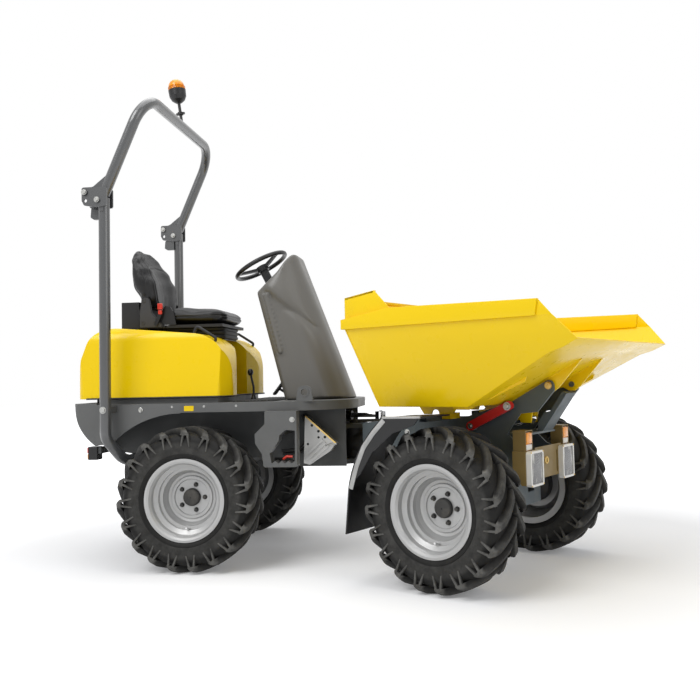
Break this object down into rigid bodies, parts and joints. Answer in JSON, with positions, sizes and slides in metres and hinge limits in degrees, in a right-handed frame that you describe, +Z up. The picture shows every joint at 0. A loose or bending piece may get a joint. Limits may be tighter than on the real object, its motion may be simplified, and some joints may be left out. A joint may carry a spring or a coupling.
{
  "type": "articulated site dumper with front tipping skip",
  "caption": "Wheeled site dumper: centre-pivot steering, open operator seat on a rear engine hood, folding roll bar and a forward-tipping skip.",
  "frame": {"origin": "bottom centre of the whole machine's bounding box as parked, on the ground", "axes": "+X forward along the rear module, +Y to the machine's left, +Z up; the front module is steered 29 degrees to the right"},
  "size_m": [3.2426, 1.9888, 2.8712],
  "materials": {
    "amber_lens": "gloss",
    "bare_aluminium": "satin",
    "black_metal": "satin",
    "black_plastic": "matt",
    "cast_metal": "rough",
    "chromed_rod": "polished",
    "dark_grey_paint": "satin",
    "grey_plastic": "matt",
    "lamp_white": "gloss",
    "mid_grey_paint": "satin",
    "olive_paint": "satin",
    "red_paint": "gloss",
    "red_plastic": "gloss",
    "seat_cover": "satin",
    "silver_paint": "satin",
    "tower_paint": "satin",
    "tyre_rubber": "matt",
    "yellow_paint": "gloss"
  },
  "bodies": {
    "rear_frame": {"rear_chassis": "dark_grey_paint", "deck": "mid_grey_paint", "deck_skirts": "mid_grey_paint", "counterweight": "mid_grey_paint", "engine": "cast_metal", "rear_axle": "black_metal", "rear_lamps": "black_plastic", "rops_posts": "dark_grey_paint", "console": "grey_plastic", "steering_column": "black_plastic", "steps": "mid_grey_paint", "valve_cover": "bare_aluminium"},
    "hood": {"hood": "yellow_paint", "seat_frame": "black_metal", "seat_cushion": "seat_cover", "seat_back": "seat_cover", "seat_buckle": "red_plastic", "grab_handles": "black_metal"},
    "roll_bar_top": {"rops_hoop": "dark_grey_paint", "beacon_base": "black_plastic", "beacon_lens": "amber_lens"},
    "steering_wheel": {"steering_wheel": "black_plastic"},
    "centre_link": {"centre_joint": "cast_metal"},
    "steering_barrel": {"steering_cylinder": "black_metal"},
    "steering_piston": {"steering_rod": "chromed_rod"},
    "front_frame": {"front_chassis": "tower_paint", "front_axle": "black_metal", "fenders": "black_plastic", "safety_strut": "red_paint", "lamp_brackets": "olive_paint", "headlights": "lamp_white", "indicators": "amber_lens"},
    "skip": {"skip": "yellow_paint", "skip_rests": "yellow_paint"},
    "tip_barrel": {"tip_cylinder": "black_metal"},
    "tip_piston": {"tip_rod": "chromed_rod"},
    "wheel_rear_left": {"rim_rear_left": "silver_paint", "tyre_rear_left": "tyre_rubber"},
    "wheel_rear_right": {"rim_rear_right": "silver_paint", "tyre_rear_right": "tyre_rubber"},
    "wheel_front_left": {"rim_front_left": "silver_paint", "tyre_front_left": "tyre_rubber"},
    "wheel_front_right": {"rim_front_right": "silver_paint", "tyre_front_right": "tyre_rubber"}
  },
  "joints": [
    {"name": "steering_pivot", "type": "hinge", "parent": "rear_frame", "child": "centre_link", "pos_m": [-0.09933, 0.33791, 0.622], "axis": [0, 0, 1], "range_deg": [-4, 62]},
    {"name": "frame_swing", "type": "hinge", "parent": "centre_link", "child": "front_frame", "pos_m": [-0.09933, 0.33791, 0.622], "axis": [0.8746, -0.4848, 0], "range_deg": [-10, 10]},
    {"name": "steering_cylinder_swing", "type": "hinge", "parent": "rear_frame", "child": "steering_barrel", "pos_m": [-0.47933, 0.4879, 0.776], "axis": [0, 0, 1], "range_deg": [-1, 13.1]},
    {"name": "steering_rod_slide", "type": "slide", "parent": "steering_barrel", "child": "steering_piston", "axis": [0.9745, -0.2243, 0], "range_m": [-0.111, 0.009]},
    {"name": "skip_tip", "type": "hinge", "parent": "front_frame", "child": "skip", "pos_m": [1.02631, -0.28604, 0.94], "axis": [0.4848, 0.8746, 0], "range_deg": [0, 80]},
    {"name": "tip_cylinder_swing", "type": "hinge", "parent": "front_frame", "child": "tip_barrel", "pos_m": [0.16306, 0.19246, 0.56], "axis": [-0.4848, -0.8746, 0], "range_deg": [-0.1, 20.3]},
    {"name": "tip_rod_slide", "type": "slide", "parent": "tip_barrel", "child": "tip_piston", "axis": [0.8458, -0.4689, 0.2544], "range_m": [-0.001, 0.072]},
    {"name": "hood_hinge", "type": "hinge", "parent": "rear_frame", "child": "hood", "pos_m": [-1.58333, 0.33791, 0.934], "axis": [0, -1, 0], "range_deg": [0, 50]},
    {"name": "roll_bar_fold", "type": "hinge", "parent": "rear_frame", "child": "roll_bar_top", "pos_m": [-1.47533, 0.33791, 2.04], "axis": [0, 1, 0], "range_deg": [-150, 0]},
    {"name": "steering_wheel_turn", "type": "hinge", "parent": "rear_frame", "child": "steering_wheel", "pos_m": [-0.65433, 0.33791, 1.687], "axis": [-0.454, 0, 0.891], "continuous": true},
    {"name": "wheel_rear_left_spin", "type": "hinge", "parent": "rear_frame", "child": "wheel_rear_left", "pos_m": [-0.91933, 0.8624, 0.37925], "axis": [0, 1, 0], "continuous": true},
    {"name": "wheel_rear_right_spin", "type": "hinge", "parent": "rear_frame", "child": "wheel_rear_right", "pos_m": [-0.91933, -0.1866, 0.37925], "axis": [0, 1, 0], "continuous": true},
    {"name": "wheel_front_left_spin", "type": "hinge", "parent": "front_frame", "child": "wheel_front_left", "pos_m": [0.94212, 0.36031, 0.37925], "axis": [0.4848, 0.8746, 0], "continuous": true},
    {"name": "wheel_front_right_spin", "type": "hinge", "parent": "front_frame", "child": "wheel_front_right", "pos_m": [0.43355, -0.55716, 0.37925], "axis": [0.4848, 0.8746, 0], "continuous": true}
  ],
  "couplings": [
    {"joint": "steering_cylinder_swing", "follows": "steering_pivot", "ratio": 0.2094},
    {"joint": "steering_rod_slide", "follows": "steering_pivot", "m_per_rad": -0.10112},
    {"joint": "tip_cylinder_swing", "follows": "skip_tip", "ratio": 0.2523},
    {"joint": "tip_rod_slide", "follows": "skip_tip", "m_per_rad": 0.05075}
  ]
}
